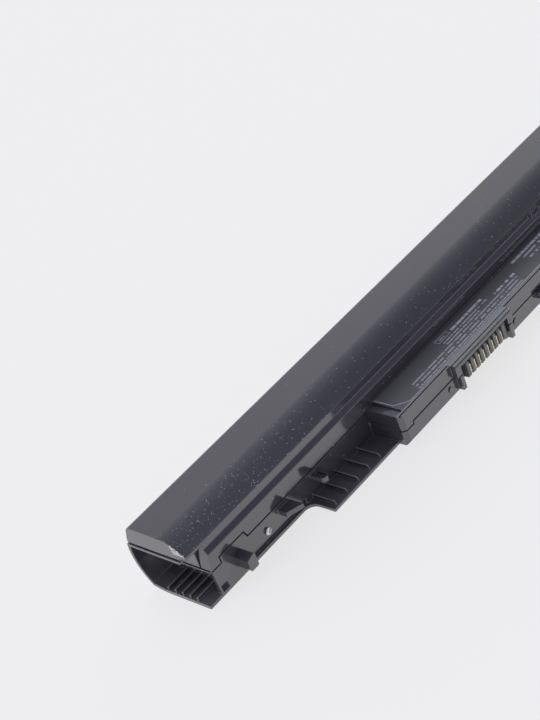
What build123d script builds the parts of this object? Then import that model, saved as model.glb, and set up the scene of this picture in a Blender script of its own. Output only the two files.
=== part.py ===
"""Laptop battery: four round cells in a row inside a two-part moulded case.

Millimetres. X runs along the row of cells, -Y is the connector side, +Z is up.
The origin is under the middle of the part, on the surface it rests on.
"""

import os

from build123d import *

# Cells
cell_diameter = 18.3
cell_length = 65.0
cell_count = 4
cap_radius = 3.2
cap_proud = 0.4
crimp_depth = 0.5
crimp_width = 1.2
crimp_inset = 3.4
can_round = 0.6

# Room left inside the case
cell_clearance = 0.2
cell_back_gap = 0.8
lead_room = 3.0
tab_room = 0.4
link_room = 0.7

# Case walls and the seam between the two shells
case_wall = 1.0
seam_gap = 0.3
lap_wall = 0.7
lap_clearance = 0.1
lap_height = 1.2
back_seam_drop = 5.6
front_seam = 8.4
block_seam = 5.6

# Cross section of the cell bay, measured from its back and its top
top_inset = 2.9
bulge_rise = 11.2
foot_inset = 3.5
foot_rise = 0.9
flat_inset = 9.5
crown_run = 8.7
hump_drop = 3.85
ledge_drop = 7.3
ledge_width = 1.35
ledge_fall = 1.2
split_inset = 3.85
back_round = 1.2

# Open scoop at the left end
scoop_depth = 8.0
end_lip = 0.4
roof_wall = 0.8
lip_wall = 0.95
front_wall_start = 4.9
corner_lean = 1.5
plate_reach = 10.0
plate_foot = 7.0
plate_slot = 0.7
plate_slot_rise = 0.7
scoop_rib_count = 5
scoop_rib_pitch = 2.7
scoop_rib_first = 4.4
scoop_rib_height = 1.0
scoop_rib_wall = 0.5
window_inset = 5.5
window_size = 2.3
window_height = 1.9

# Sill with the channel above it, wings and their ribs
sill = 0.35
channel_start = 18.0
channel_end = 40.0
channel_top = 2.95
channel_depth = 0.6
apron_top = 5.0
wing_inset = 40.8
wing_depth = 8.9
wing_round = 2.8
wing_rib_count = 5
wing_rib_pitch = 4.85
wing_rib_first = 1.9
wing_rib_height = 1.1
wing_rib_wall = 0.45
wing_rib_slope = 1.4

# Raised block that carries the label and the connector
block_inset = 69.1
block_depth = 12.3
block_roof = 1.85
block_corner = 1.2
block_foot = 0.9
block_tab_length = 4.1
block_tab_drop = 0.9
margin_slot_inset = 1.5
margin_slot_width = 1.55
margin_slot_setback = 1.3
groove_setback = 0.4
groove_width = 0.4
groove_depth = 0.5

# Label film
label_film = 0.15
label_end_inset = 3.6
label_back_inset = 0.6
label_front_inset = 1.45
label_corner = 3.4

# Hooks, tabs and marks on the front wall, measured from each end
seam_tab_start = 8.8
seam_tab_end = 18.0
seam_tab_slope = 0.8
seam_tab_rise = 2.0
hook_start = 12.5
hook_width = 3.0
hook_height = 4.3
hook_reach = 4.95
hook_top = 7.5
hook_slope = 0.9
hook_round = 0.5
wedge_start = 30.4
wedge_run = 4.8
wedge_near = 2.95
wedge_far = 5.0
wedge_top = 6.9
wedge_wall = 1.45
latch_start = 44.1
latch_width = 2.6
latch_reach = 4.95
latch_top = 7.35
latch_wall = 1.4
latch_rim = 0.5
latch_recess = 0.5
pin_inset = 25.05
pin_rise = 4.55
pin_radius = 1.0
pin_proud = 0.5
clip_inset = 116.5
clip_width = 3.6
clip_height = 1.6
clip_leg = 0.8
clip_proud = 0.6
catch_width = 8.0
catch_height = 2.0
catch_rise = 3.2
catch_reach = 1.5

# Connector comb
connector_inset = 105.65
fin_count = 9
fin_pitch = 2.15
fin_wall = 1.15
fin_reach = 1.7
fin_root = 1.75
fin_foot = 2.6
fin_height = 5.1
fin_round = 0.6
bar_height = 0.9
bar_setback = 0.3
frame_wall = 2.4
frame_groove_drop = 0.4
frame_groove_setback = 0.9
frame_groove_width = 0.3
frame_groove_depth = 0.3
cheek_wall = 0.9
cheek_setback = 1.1
back_plate = 1.0
connector_clearance = 0.15
key_wall = 1.4
mark_offset = 15.85
mark_rise = 3.2
mark_radius = 0.9
mark_proud = 0.3

# Contacts
contact_wall = 0.4
contact_setback = 0.35
contact_margin = 0.7
contact_neck = 1.0
contact_neck_rise = 2.0
contact_tail = 1.4
contact_foot = 0.9
slit_clearance = 0.05

# Circuit board and its supports
board_wall = 0.8
board_rise = 1.6
board_end_gap = 0.5
board_back_gap = 1.15
board_front_gap = 0.2
board_rib_wall = 1.2
board_rib_count = 5

# Nickel strips and paper
strip_wall = 0.15
strip_width = 7.0
strip_reach = 4.0
fold_inset = 1.2
lead_height = 3.0
lead_offset = 0.75
tap_offset = 0.55
arm_clearance = 0.8
arm_width = 2.0
arm_reach = 2.0
arm_foot = 1.5
lead_landing = 3.0
ring_wall = 0.25
ring_radius = 8.4
ring_bore = 3.8
sheet_wall = 0.25
sheet_offset = 0.7
sheet_height = 7.0
sheet_end_gap = 6.0
sheet_notch = 2.4
sheet_notch_rise = 4.0

# Board parts: length along X, width along Y, height; place as a share of the board's length
gauge_size = (6.0, 6.0, 1.0)
gauge_place = 0.47
mosfet_size = (5.0, 6.0, 1.0)
mosfet_places = (0.145, 0.205)
resistor_size = (6.4, 3.2, 0.6)
resistor_place = 0.085
fuse_size = (7.0, 4.0, 1.8)
fuse_place = 0.9
thermistor_size = (2.0, 1.2, 0.8)
thermistor_place = 0.73

# Sizes that follow from the cells and the walls
cell_radius = cell_diameter / 2
height = cell_diameter + 2 * case_wall + cell_clearance
row_length = cell_count * cell_length + (cell_count - 1) * link_room
length = scoop_depth + 2 * case_wall + 2 * tab_room + row_length
body_depth = 2 * case_wall + cell_back_gap + cell_diameter + lead_room
depth = body_depth + block_depth + fin_reach

# Places along each axis
left_x = -length / 2
right_x = length / 2
bay_left = left_x + scoop_depth + case_wall
bay_right = right_x - case_wall
row_start = bay_left + tab_room
back_y = depth / 2
wall_y = back_y - body_depth
block_y = wall_y - block_depth
tip_y = block_y - fin_reach
step_y = wall_y + ledge_width
split_y = wall_y + split_inset
cell_y = back_y - case_wall - cell_back_gap - cell_radius
floor_z = case_wall
cell_z = floor_z + cell_radius
hump_z = height - hump_drop
lip_z = hump_z - lip_wall
ledge_z = height - ledge_drop
step_foot = ledge_z + ledge_fall
back_seam = height - back_seam_drop
block_left = left_x + block_inset
block_right = right_x - block_inset
connector_x = left_x + connector_inset
board_top = floor_z + board_rise + board_wall
plate_y = block_y + fin_root
bar_top = fin_foot + fin_height
bar_z = bar_top - bar_height
block_top = bar_top + connector_clearance + block_roof
housing_half = (fin_count - 1) / 2 * fin_pitch + fin_pitch - fin_wall / 2 + cheek_wall
window_half = housing_half + connector_clearance
frame_half = window_half + frame_wall
lead_y = wall_y + case_wall + lead_offset
tap_y = lead_y + tap_offset
sheet_y = cell_y - cell_radius - sheet_offset
fold_y = cell_y - cell_radius + fold_inset
leaf_foot = cell_z - strip_width / 2
inner_x = (block_left + case_wall, block_right - case_wall)
board_left = inner_x[0] + board_end_gap
board_right = inner_x[1] - board_end_gap
board_front = plate_y + back_plate + board_front_gap
board_back = lead_y + board_back_gap
first_fin = connector_x - (fin_count - 1) / 2 * fin_pitch
neck_z = fin_foot + contact_neck_rise
past = 1.0


def brick(x_range, y_range, z_range, mode=Mode.ADD):
    """A block between two corners, added to or cut from the part being built."""
    corner = (min(x_range), min(y_range), min(z_range))
    size = [abs(b - a) for a, b in (x_range, y_range, z_range)]
    with Locations(corner):
        Box(*size, align=(Align.MIN, Align.MIN, Align.MIN), mode=mode)


def from_end(side, distance):
    """X of a place that lies a distance in from the left (-1) or right (+1) end."""
    return side * (length / 2 - distance)


# Outline of the cell bay, seen along X
with BuildSketch(Plane.YZ) as body_section:
    with BuildLine():
        floor_line = Line((wall_y, 0), (back_y - flat_inset, 0))
        TangentArc(floor_line @ 1, (back_y - foot_inset, foot_rise), tangent=floor_line % 1)
        ThreePointArc((back_y - foot_inset, foot_rise), (back_y, bulge_rise), (back_y - top_inset, height))
        top_line = Line((back_y - top_inset, height), (step_y + crown_run, height))
        TangentArc(top_line @ 1, (step_y, hump_z), tangent=top_line % 1)
        Polyline((step_y, hump_z), (step_y, step_foot), (wall_y, ledge_z), (wall_y, 0))
    make_face()
    fillet(body_section.vertices().sort_by_distance((back_y - top_inset, height))[0], back_round)

# The same outline inside the walls
with BuildSketch(Plane.YZ) as cavity_section:
    add(body_section.sketch_local)
    offset(amount=-case_wall, kind=Kind.INTERSECTION)

# Tongue of the lower shell that stands behind the seam, at the back and at the front
with BuildSketch(Plane.YZ) as lap_section:
    add(body_section.sketch_local)
    offset(amount=-case_wall, kind=Kind.INTERSECTION)
    with BuildSketch(mode=Mode.PRIVATE) as lap_core:
        add(body_section.sketch_local)
        offset(amount=-(case_wall + lap_clearance + lap_wall), kind=Kind.INTERSECTION)
    add(lap_core.sketch_local, mode=Mode.SUBTRACT)
    with BuildSketch(mode=Mode.PRIVATE) as lap_reach:
        for seam, near_y, far_y in ((back_seam, cell_y, back_y), (front_seam, wall_y, split_y)):
            with Locations(((near_y + far_y) / 2, seam - seam_gap)):
                Rectangle(far_y - near_y, 2 * lap_height)
    add(lap_reach.sketch_local, mode=Mode.INTERSECT)

# Upper shell
with BuildPart() as upper_case:
    with BuildSketch(Plane.YZ.offset(left_x + end_lip)):
        add(body_section.sketch_local)
    extrude(amount=length - end_lip)
    with BuildSketch(Plane.YZ.offset(left_x + end_lip + case_wall)):
        add(cavity_section.sketch_local)
    extrude(amount=bay_right - left_x - end_lip - case_wall, mode=Mode.SUBTRACT)
    brick((left_x, right_x), (split_y, back_y + past), (0, back_seam), Mode.SUBTRACT)
    brick((left_x, right_x), (wall_y, split_y), (0, front_seam), Mode.SUBTRACT)
    # Corner of the ledge, set back from the end and leaning, with a wall behind it
    ledge_end = left_x + front_wall_start
    with BuildSketch(Plane.XZ.offset(-split_y)):
        Polygon(
            (left_x, 0),
            (ledge_end, 0),
            (ledge_end, front_seam),
            (ledge_end + corner_lean, lip_z),
            (left_x, lip_z),
            align=None,
        )
    extrude(amount=split_inset, mode=Mode.SUBTRACT)
    for near_y, top_z in ((wall_y, ledge_z), (step_y, lip_z)):
        lean_end = ledge_end + corner_lean * (top_z - front_seam) / (lip_z - front_seam)
        with BuildSketch(Plane.XZ.offset(-split_y)):
            Polygon(
                (ledge_end, front_seam),
                (ledge_end + case_wall, front_seam),
                (lean_end + case_wall, top_z),
                (lean_end, top_z),
                align=None,
            )
        extrude(amount=split_y - near_y)
    # Room for the raised stretch of the lower wall near each end
    for side in (-1, 1):
        with BuildSketch(Plane.XZ.offset(-wall_y - case_wall - lap_clearance)):
            Polygon(
                (from_end(side, seam_tab_start - seam_gap), front_seam - past),
                (from_end(side, seam_tab_start - seam_gap), front_seam + seam_tab_rise),
                (from_end(side, seam_tab_end + seam_gap), front_seam + seam_tab_rise),
                (from_end(side, seam_tab_end + seam_tab_slope + seam_gap), front_seam),
                (from_end(side, seam_tab_end + seam_tab_slope + seam_gap), front_seam - past),
                align=None,
            )
        extrude(amount=case_wall + lap_clearance + past, mode=Mode.SUBTRACT)
    # Raised block, open below and towards the cells
    with BuildSketch(Plane.XY.offset(block_seam)):
        with BuildLine():
            Polyline(
                (block_left, wall_y),
                (block_left, block_y + block_corner),
                (block_left + block_corner, block_y),
                (block_right - block_corner, block_y),
                (block_right, block_y + block_corner),
                (block_right, wall_y),
                close=True,
            )
        make_face()
    extrude(amount=block_top - block_seam)
    inner_y = (block_y + case_wall, wall_y)
    brick(inner_x, inner_y, (block_seam, block_top - case_wall), Mode.SUBTRACT)
    for side in (-1, 1):
        with BuildSketch(Plane.XY.offset(block_seam - block_tab_drop)):
            Polygon(
                (from_end(side, block_inset), block_y + block_corner),
                (from_end(side, block_inset + block_corner), block_y),
                (from_end(side, block_inset + block_tab_length), block_y),
                (from_end(side, block_inset + block_tab_length), block_y + case_wall),
                (from_end(side, block_inset + case_wall), block_y + case_wall),
                (from_end(side, block_inset + case_wall), block_y + block_corner),
                align=None,
            )
        extrude(amount=block_tab_drop)
        slot_x = from_end(side, block_inset + margin_slot_inset + margin_slot_width / 2)
        slot_y = block_y + margin_slot_setback + margin_slot_width / 2
        with BuildSketch(Plane.XY.offset(block_top - groove_depth)):
            with Locations((slot_x, slot_y)):
                Circle(margin_slot_width / 2)
                Rectangle(margin_slot_width, wall_y - slot_y, align=(Align.CENTER, Align.MIN))
        extrude(amount=groove_depth, mode=Mode.SUBTRACT)
    groove_y = block_y + groove_setback
    brick(
        (block_left, block_right),
        (groove_y, groove_y + groove_width),
        (block_top - groove_depth, block_top),
        Mode.SUBTRACT,
    )
    # Frame round the connector, flush with its fins, with a groove on top and one in front
    frame_x = (connector_x - frame_half, connector_x + frame_half)
    brick(frame_x, (tip_y, block_y + case_wall), (block_seam, block_top))
    groove_y = tip_y + frame_groove_setback
    brick(
        frame_x,
        (groove_y, groove_y + frame_groove_width),
        (block_top - frame_groove_depth, block_top),
        Mode.SUBTRACT,
    )
    groove_z = block_top - frame_groove_drop
    brick(
        frame_x,
        (tip_y, tip_y + frame_groove_depth),
        (groove_z - frame_groove_width, groove_z),
        Mode.SUBTRACT,
    )
    brick(
        (connector_x - window_half, connector_x + window_half),
        (tip_y - past, plate_y + back_plate),
        (block_seam, bar_top + connector_clearance),
        Mode.SUBTRACT,
    )
    # Small arched clip on the wall under the hump
    clip_x = from_end(1, clip_inset) - clip_width / 2
    clip_y = (step_y - clip_proud, step_y)
    brick((clip_x, clip_x + clip_width), clip_y, (step_foot - clip_proud, step_foot + clip_height))
    brick(
        (clip_x + clip_leg, clip_x + clip_width - clip_leg),
        clip_y,
        (step_foot, step_foot + clip_height - clip_leg),
        Mode.SUBTRACT,
    )
upper_case.part.label = "upper_case"

# Lower shell
with BuildPart() as lower_case:
    with BuildSketch(Plane.YZ.offset(left_x)):
        add(body_section.sketch_local)
    extrude(amount=length)
    with BuildSketch(Plane.YZ.offset(bay_left)):
        add(cavity_section.sketch_local)
    extrude(amount=bay_right - bay_left, mode=Mode.SUBTRACT)
    split_back = split_y + seam_gap
    brick((left_x, right_x), (split_back, back_y + past), (back_seam - seam_gap, height), Mode.SUBTRACT)
    brick((left_x, right_x), (wall_y, split_back), (front_seam - seam_gap, height), Mode.SUBTRACT)
    # Scoop at the left end, open to the end and at the front corner
    roof_z = back_seam - seam_gap - roof_wall
    with BuildSketch(Plane.YZ.offset(left_x)):
        add(cavity_section.sketch_local)
        with Locations((cell_y, roof_z / 2)):
            Rectangle(2 * depth, roof_z, mode=Mode.INTERSECT)
    extrude(amount=scoop_depth, mode=Mode.SUBTRACT)
    plate_x = left_x + front_wall_start
    brick((left_x, plate_x), (wall_y, step_y), (floor_z, height), Mode.SUBTRACT)
    brick((plate_x, plate_x + case_wall), (split_back, split_y + plate_reach), (plate_foot, roof_z))
    brick(
        (plate_x, plate_x + case_wall),
        (wall_y, split_back),
        (plate_foot, front_seam - seam_gap),
    )
    slot_z = plate_foot + plate_slot_rise
    brick(
        (plate_x, plate_x + case_wall),
        (wall_y + case_wall, split_y + plate_reach - case_wall),
        (slot_z, slot_z + plate_slot),
        Mode.SUBTRACT,
    )
    for index in range(scoop_rib_count):
        rib_y = wall_y + scoop_rib_first + index * scoop_rib_pitch - scoop_rib_wall / 2
        brick(
            (left_x + end_lip, left_x + scoop_depth),
            (rib_y, rib_y + scoop_rib_wall),
            (floor_z / 2, floor_z + scoop_rib_height),
        )
    # Tongue behind the seam
    with BuildSketch(Plane.YZ.offset(bay_left)):
        add(lap_section.sketch_local)
    extrude(amount=bay_right - bay_left)
    # Sill and wings, one flat plate with rounded inner corners
    with BuildSketch(Plane.XY) as plate_outline:
        with Locations((0, wall_y - sill)):
            Rectangle(length, sill + case_wall, align=(Align.CENTER, Align.MIN))
        with Locations((0, wall_y - wing_depth)):
            Rectangle(length - 2 * wing_inset, wing_depth, align=(Align.CENTER, Align.MIN))
        for side in (-1, 1):
            inner_corner = (from_end(side, wing_inset), wall_y - sill)
            fillet(plate_outline.vertices().sort_by_distance(inner_corner)[0], wing_round)
    extrude(amount=case_wall)
    # Ramp from the wall down to the sill near each end, and the window in it
    for start_x, end_x in ((plate_x, left_x + channel_start), (right_x - channel_start, right_x)):
        with BuildSketch(Plane.YZ.offset(start_x)):
            Polygon((wall_y, floor_z), (wall_y - sill, floor_z), (wall_y, apron_top), align=None)
        extrude(amount=end_x - start_x)
    window_x = left_x + window_inset
    brick(
        (window_x, window_x + window_size),
        (wall_y - past, wall_y + case_wall),
        (floor_z, floor_z + window_height),
        Mode.SUBTRACT,
    )
    with BuildSketch(Plane.YZ, mode=Mode.PRIVATE) as wing_rib:
        Polygon(
            (wall_y, floor_z / 2),
            (wall_y, floor_z + wing_rib_height),
            (wall_y - wing_depth + wing_rib_slope, floor_z + wing_rib_height),
            (wall_y - wing_depth + wing_rib_height / 2, floor_z / 2),
            align=None,
        )
    for side in (-1, 1):
        for index in range(wing_rib_count):
            rib_x = from_end(side, wing_inset + wing_rib_first + index * wing_rib_pitch)
            with BuildSketch(Plane.YZ.offset(rib_x - wing_rib_wall / 2)):
                add(wing_rib.sketch_local)
            extrude(amount=wing_rib_wall)
    # Lower half of the raised block
    with BuildSketch(Plane.XY) as block_outline:
        with Locations((0, block_y)):
            Rectangle(block_right - block_left, block_depth, align=(Align.CENTER, Align.MIN))
        for side in (-1, 1):
            front_corner = (from_end(side, block_inset), block_y)
            chamfer(block_outline.vertices().sort_by_distance(front_corner)[0], block_corner)
    extrude(amount=block_seam - seam_gap)
    block_front = lower_case.faces().filter_by(Axis.Y).sort_by(Axis.Y)[0]
    chamfer(block_front.edges().filter_by(Axis.X).sort_by(Axis.Z)[0], block_foot)
    lap_back = wall_y + case_wall + lap_clearance + lap_wall
    brick(inner_x, (block_y + case_wall, lap_back), (floor_z, height), Mode.SUBTRACT)
    for side in (-1, 1):
        tab_x = from_end(side, block_inset + block_tab_length + seam_gap)
        tab_z = (block_seam - seam_gap - block_tab_drop, block_seam)
        tab_y = (block_y - past, block_y + case_wall)
        brick((from_end(side, block_inset), tab_x), tab_y, tab_z, Mode.SUBTRACT)
        corner_x = (from_end(side, block_inset), from_end(side, block_inset + case_wall))
        brick(corner_x, (block_y, block_y + block_corner + seam_gap), tab_z, Mode.SUBTRACT)
    # Notch under the connector, open below, with a key on each side
    brick(
        (connector_x - window_half, connector_x + window_half),
        (block_y - past, plate_y),
        (-past, block_seam),
        Mode.SUBTRACT,
    )
    # Slot in the floor behind the fins, which leaves the comb's back plate a seat at each end
    brick(
        (first_fin - fin_wall / 2, 2 * connector_x - first_fin + fin_wall / 2),
        (plate_y - past, plate_y + back_plate),
        (-past, floor_z),
        Mode.SUBTRACT,
    )
    for side in (-1, 1):
        key_x = connector_x + side * window_half
        brick(
            (key_x, key_x + side * key_wall),
            (tip_y, block_y + case_wall),
            (block_foot, block_seam - seam_gap),
        )
        with BuildSketch(Plane.XZ.offset(-block_y)):
            with Locations((connector_x + side * mark_offset, mark_rise)):
                Circle(mark_radius)
        extrude(amount=mark_proud)
    brick(
        (-catch_width / 2, catch_width / 2),
        (block_y - catch_reach, block_y + case_wall),
        (catch_rise, catch_rise + catch_height),
    )
    # Ribs that carry the board
    rib_span = board_right - board_left - board_rib_wall
    for index in range(board_rib_count):
        rib_x = board_left + index * rib_span / (board_rib_count - 1)
        brick(
            (rib_x, rib_x + board_rib_wall),
            (board_front, wall_y + case_wall),
            (floor_z / 2, floor_z + board_rise),
        )
    # Channel, raised stretch of the front wall, hook, wedge, latch tab and pin near each end
    for side in (-1, 1):
        brick(
            (from_end(side, channel_start), from_end(side, channel_end)),
            (wall_y, wall_y + channel_depth),
            (floor_z, channel_top),
            Mode.SUBTRACT,
        )
        with BuildSketch(Plane.XZ.offset(-wall_y - case_wall)):
            Polygon(
                (from_end(side, seam_tab_start), front_seam - past),
                (from_end(side, seam_tab_start), front_seam + seam_tab_rise - seam_gap),
                (from_end(side, seam_tab_end), front_seam + seam_tab_rise - seam_gap),
                (from_end(side, seam_tab_end + seam_tab_slope), front_seam - seam_gap),
                (from_end(side, seam_tab_end + seam_tab_slope), front_seam - past),
                align=None,
            )
        extrude(amount=case_wall)
        with BuildSketch(Plane.XZ.offset(-wall_y)) as hook_outline:
            Polygon(
                (from_end(side, hook_start), hook_top - hook_height),
                (from_end(side, hook_start + hook_width), hook_top - hook_height),
                (from_end(side, hook_start + hook_width), hook_top),
                (from_end(side, hook_start), hook_top - hook_slope),
                align=None,
            )
            fillet(hook_outline.vertices(), hook_round)
        extrude(amount=hook_reach)
        with BuildSketch(Plane.XY.offset(wedge_top - wedge_wall)):
            Polygon(
                (from_end(side, wedge_start), wall_y),
                (from_end(side, wedge_start), wall_y - wedge_near),
                (from_end(side, wedge_start + wedge_run), wall_y - wedge_far),
                (from_end(side, wedge_start + wedge_run), wall_y),
                align=None,
            )
        extrude(amount=wedge_wall)
        latch_x = from_end(side, latch_start + latch_width / 2)
        with BuildSketch(Plane.XY.offset(latch_top - latch_wall)) as latch_outline:
            with Locations((latch_x, wall_y - latch_reach + latch_width / 2)):
                Circle(latch_width / 2)
            with Locations((latch_x, wall_y)):
                Rectangle(latch_width, latch_reach - latch_width / 2, align=(Align.CENTER, Align.MAX))
        extrude(amount=latch_wall)
        with BuildSketch(Plane.XY.offset(latch_top - latch_recess)):
            add(latch_outline.sketch_local)
            offset(amount=-latch_rim)
        extrude(amount=latch_recess, mode=Mode.SUBTRACT)
        with BuildSketch(Plane.XZ.offset(-wall_y)):
            with Locations((from_end(side, pin_inset), pin_rise)):
                Circle(pin_radius)
        extrude(amount=pin_proud)
lower_case.part.label = "lower_case"

# Connector comb: a back plate, a bar above the fins, nine fins and two cheeks
with BuildPart() as connector_housing:
    brick(
        (connector_x - housing_half, connector_x + housing_half),
        (plate_y, plate_y + back_plate),
        (floor_z, bar_top),
    )
    brick(
        (connector_x - housing_half, connector_x + housing_half),
        (block_y + bar_setback, plate_y),
        (bar_z, bar_top),
    )
    with BuildSketch(Plane.YZ, mode=Mode.PRIVATE) as fin_outline:
        with Locations((tip_y, fin_foot)):
            Rectangle(plate_y - tip_y, fin_height, align=(Align.MIN, Align.MIN))
        fillet(fin_outline.vertices().group_by(Axis.X)[0], fin_round)
    for index in range(fin_count):
        with BuildSketch(Plane.YZ.offset(first_fin + index * fin_pitch - fin_wall / 2)):
            add(fin_outline.sketch_local)
        extrude(amount=fin_wall)
    for side in (-1, 1):
        brick(
            (connector_x + side * housing_half, connector_x + side * (housing_half - cheek_wall)),
            (tip_y + cheek_setback, plate_y),
            (fin_foot, bar_z),
        )
    slit_z = (neck_z - slit_clearance, neck_z + contact_neck + slit_clearance)
    for index in range(fin_count - 1):
        slit_x = first_fin + (index + 0.5) * fin_pitch
        brick(
            (slit_x - contact_wall / 2 - slit_clearance, slit_x + contact_wall / 2 + slit_clearance),
            (plate_y, plate_y + back_plate),
            slit_z,
            Mode.SUBTRACT,
        )
connector_housing.part.label = "connector_housing"

# Contacts: flat blades that stand between the fins and reach back to the board
contacts = []
for index in range(fin_count - 1):
    blade_x = first_fin + (index + 0.5) * fin_pitch
    tail_y = plate_y + back_plate + contact_tail
    with BuildPart() as contact:
        with BuildSketch(Plane.YZ.offset(blade_x - contact_wall / 2)):
            Polygon(
                (tip_y + contact_setback, fin_foot + contact_margin),
                (plate_y, fin_foot + contact_margin),
                (plate_y, neck_z),
                (tail_y - contact_foot, neck_z),
                (tail_y - contact_foot, board_top),
                (tail_y, board_top),
                (tail_y, neck_z + contact_neck),
                (plate_y, neck_z + contact_neck),
                (plate_y, bar_z - contact_margin),
                (tip_y + contact_setback, bar_z - contact_margin),
                align=None,
            )
        extrude(amount=contact_wall)
    contact.part.label = f"contact_{index + 1}"
    contacts.append(contact)

# Label film on top of the block
with BuildPart() as label:
    with BuildSketch(Plane.XY.offset(block_top)) as label_outline:
        label_depth = block_depth - label_back_inset - label_front_inset
        with Locations((0, wall_y - label_back_inset)):
            Rectangle(
                block_right - block_left - 2 * label_end_inset,
                label_depth,
                align=(Align.CENTER, Align.MAX),
            )
        chamfer(label_outline.vertices().group_by(Axis.Y)[0], label_corner)
    extrude(amount=label_film)
label.part.label = "label"

# Cells, negative end first, each with its crimp, its positive cap and a paper ring round the cap
cells = []
rings = []
for index in range(cell_count):
    cell_x = row_start + index * (cell_length + link_room)
    shoulder = cell_length - cap_proud
    crimp = shoulder - crimp_inset
    cell_plane = Plane(origin=(cell_x, cell_y, cell_z), x_dir=(1, 0, 0), z_dir=(0, -1, 0))
    with BuildPart() as cell:
        with BuildSketch(cell_plane):
            Polygon(
                (0, 0),
                (0, cell_radius - can_round),
                (can_round, cell_radius),
                (crimp, cell_radius),
                (crimp, cell_radius - crimp_depth),
                (crimp + crimp_width, cell_radius - crimp_depth),
                (crimp + crimp_width, cell_radius),
                (shoulder - can_round, cell_radius),
                (shoulder, cell_radius - can_round),
                (shoulder, cap_radius),
                (cell_length, cap_radius),
                (cell_length, 0),
                align=None,
            )
        revolve(axis=Axis(cell_plane.origin, cell_plane.x_dir))
    cell.part.label = f"cell_{index + 1}"
    cells.append(cell)
    with BuildPart() as ring:
        with BuildSketch(Plane.YZ.offset(cell_x + shoulder)):
            with Locations((cell_y, cell_z)):
                Circle(ring_radius)
                Circle(ring_bore, mode=Mode.SUBTRACT)
        extrude(amount=ring_wall)
    ring.part.label = f"insulator_ring_{index + 1}"
    rings.append(ring)

# Outline of a nickel leaf on a cell's end, seen along X
with BuildSketch(Plane.YZ) as leaf_section:
    with Locations((cell_y + strip_reach, cell_z)):
        Rectangle(cell_y + strip_reach - fold_y, strip_width, align=(Align.MAX, Align.CENTER))

# The leaf with an arm that passes under the upper wall and stands on the board
with BuildSketch(Plane.YZ) as arm_section:
    add(leaf_section.sketch_local)
    arm_top = front_seam - arm_clearance
    foot_y = wall_y - arm_reach
    Polygon(
        (fold_y, leaf_foot),
        (fold_y, cell_z),
        (lead_y, arm_top),
        (foot_y, arm_top),
        (foot_y, board_top),
        (foot_y + arm_foot, board_top),
        (foot_y + arm_foot, arm_top - arm_width),
        (lead_y, arm_top - arm_width),
        align=None,
    )


def tail_section(end_y):
    """Outline of a leaf with a tail that drops to a lead at end_y, seen along X."""
    with BuildSketch(Plane.YZ) as section:
        add(leaf_section.sketch_local)
        Polygon(
            (fold_y, leaf_foot),
            (fold_y, cell_z),
            (end_y, board_top + lead_height),
            (end_y, board_top),
            align=None,
        )
    return section.sketch_local


# Links between the cells: two leaves joined by a fold, and a way to the board
links = []
for index in range(cell_count - 1):
    gap_x = row_start + (index + 1) * cell_length + index * link_room
    with BuildPart() as link:
        with BuildSketch(Plane.YZ.offset(gap_x + link_room - strip_wall)):
            add(leaf_section.sketch_local)
        extrude(amount=strip_wall)
        fold_z = (leaf_foot, leaf_foot + strip_width)
        brick((gap_x, gap_x + link_room), (fold_y, fold_y + strip_wall), fold_z)
        if board_left < gap_x < board_right:
            with BuildSketch(Plane.YZ.offset(gap_x)):
                add(arm_section.sketch_local)
            extrude(amount=strip_wall)
        else:
            with BuildSketch(Plane.YZ.offset(gap_x)):
                add(tail_section(tap_y))
            extrude(amount=strip_wall)
            landing_x = max(board_left + lead_landing, min(gap_x, board_right - lead_landing))
            lead_x = (landing_x, gap_x + strip_wall)
            brick(lead_x, (tap_y, tap_y + strip_wall), (board_top, board_top + lead_height))
    link.part.label = f"link_{index + 1}"
    links.append(link)

# Tabs from the two ends of the row to the board
with BuildPart() as negative_tab:
    with BuildSketch(Plane.YZ.offset(row_start - strip_wall)):
        add(tail_section(lead_y))
    extrude(amount=strip_wall)
    lead_x = (row_start - strip_wall, board_left + lead_landing)
    brick(lead_x, (lead_y, lead_y + strip_wall), (board_top, board_top + lead_height))
negative_tab.part.label = "negative_tab"

with BuildPart() as positive_tab:
    with BuildSketch(Plane.YZ.offset(row_start + row_length)):
        add(tail_section(lead_y))
    extrude(amount=strip_wall)
    lead_x = (board_right - lead_landing, row_start + row_length + strip_wall)
    brick(lead_x, (lead_y, lead_y + strip_wall), (board_top, board_top + lead_height))
positive_tab.part.label = "positive_tab"

# Paper sheet between the cells and the board, notched for the middle link's arm
with BuildPart() as insulator_sheet:
    sheet_x = (inner_x[0] + sheet_end_gap, inner_x[1] - sheet_end_gap)
    brick(sheet_x, (sheet_y - sheet_wall, sheet_y), (floor_z, floor_z + sheet_height))
    middle_x = row_start + 2 * cell_length + link_room
    brick(
        (middle_x - sheet_notch / 2, middle_x + sheet_notch / 2),
        (sheet_y - sheet_wall, sheet_y),
        (floor_z + sheet_notch_rise, floor_z + sheet_height),
        Mode.SUBTRACT,
    )
insulator_sheet.part.label = "insulator_sheet"

# Board behind the connector, and its parts
with BuildPart() as circuit_board:
    brick((board_left, board_right), (board_front, board_back), (board_top - board_wall, board_top))
circuit_board.part.label = "circuit_board"

board_parts = []
for name, size, place in (
    ("gauge_chip", gauge_size, gauge_place),
    ("mosfet_1", mosfet_size, mosfet_places[0]),
    ("mosfet_2", mosfet_size, mosfet_places[1]),
    ("sense_resistor", resistor_size, resistor_place),
    ("fuse", fuse_size, fuse_place),
    ("thermistor", thermistor_size, thermistor_place),
):
    with BuildPart() as board_part:
        part_x = board_left + place * (board_right - board_left)
        with Locations((part_x, (board_front + board_back) / 2, board_top)):
            Box(*size, align=(Align.CENTER, Align.CENTER, Align.MIN))
    board_part.part.label = name
    board_parts.append(board_part)

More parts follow.
